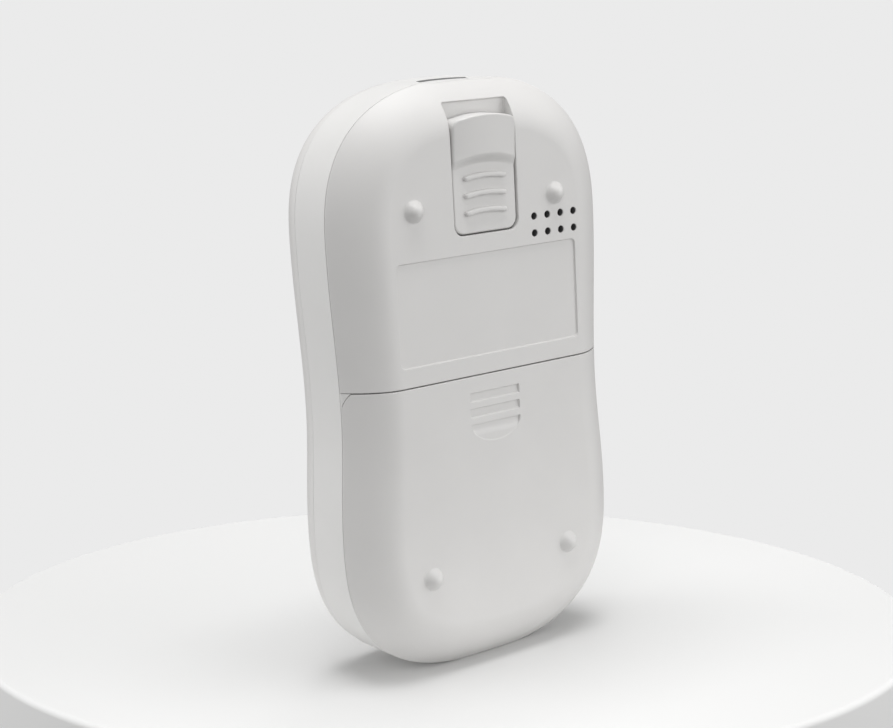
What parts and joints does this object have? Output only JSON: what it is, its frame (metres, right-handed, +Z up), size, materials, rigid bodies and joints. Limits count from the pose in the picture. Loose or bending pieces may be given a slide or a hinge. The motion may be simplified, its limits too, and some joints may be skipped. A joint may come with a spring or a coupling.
{
  "type": "blood glucose meter",
  "caption": "Hand-held blood glucose meter with a waisted body, strip ejector slider, sliding battery door, display and press buttons.",
  "frame": {"origin": "middle of the small flat on the lower end, on which the meter stands", "axes": "+Z up the long axis, +Y out of the rear face with the slider and the door, -Y out of the display"},
  "size_m": [0.0544, 0.0223, 0.096],
  "materials": {
    "shell_plastic": "fine spark-eroded texture, satin",
    "band_plastic": "fine texture, satin",
    "lens": "clear window over a dark border",
    "key_dark": "soft-touch blue grey",
    "key_pale": "satin",
    "inner_plastic": "as moulded",
    "dark_plastic": "as moulded",
    "cell_sleeve": "plain printed sleeve, satin",
    "spring_steel": "nickel plated",
    "contact_gold": "gold plated",
    "board_green": "solder mask",
    "glass_panel": "polished",
    "soft_rubber": "matt"
  },
  "bodies": {
    "housing": {"front_cover": "shell_plastic", "display_lens": "lens", "mid_band": "band_plastic", "strip_guide": "dark_plastic", "rear_cover": "shell_plastic", "eject_spring": "spring_steel", "battery_tray": "inner_plastic", "battery_left": "cell_sleeve", "battery_right": "cell_sleeve", "battery_springs": "spring_steel", "battery_plates": "spring_steel", "main_board": "board_green", "board_chips": "dark_plastic", "strip_connector": "dark_plastic", "connector_contacts": "contact_gold", "display_panel": "glass_panel", "display_holder": "inner_plastic", "display_connector": "soft_rubber", "button_switches": "spring_steel", "speaker": "spring_steel", "speaker_gasket": "soft_rubber", "case_screws": "spring_steel", "board_screws": "spring_steel", "cover_screws": "spring_steel"},
    "slider": {"eject_slider": "shell_plastic", "eject_carriage": "inner_plastic"},
    "door": {"battery_door": "shell_plastic"},
    "main_key": {"main_button": "key_dark"},
    "up_key": {"up_button": "key_pale"},
    "down_key": {"down_button": "key_pale"}
  },
  "joints": [
    {"name": "slider_slide", "type": "slide", "parent": "housing", "child": "slider", "axis": [0, 0, 1], "range_m": [0, 0.002], "stiffness_N_per_m": 300, "deforming": ["eject_spring"]},
    {"name": "door_slide", "type": "slide", "parent": "housing", "child": "door", "axis": [0, 0, -1], "range_m": [0, 0.006]},
    {"name": "main_press", "type": "slide", "parent": "housing", "child": "main_key", "axis": [0, 1, 0], "range_m": [0, 0.0005], "stiffness_N_per_m": 900},
    {"name": "up_press", "type": "slide", "parent": "housing", "child": "up_key", "axis": [0, 1, 0], "range_m": [0, 0.0005], "stiffness_N_per_m": 900},
    {"name": "down_press", "type": "slide", "parent": "housing", "child": "down_key", "axis": [0, 1, 0], "range_m": [0, 0.0005], "stiffness_N_per_m": 900}
  ]
}
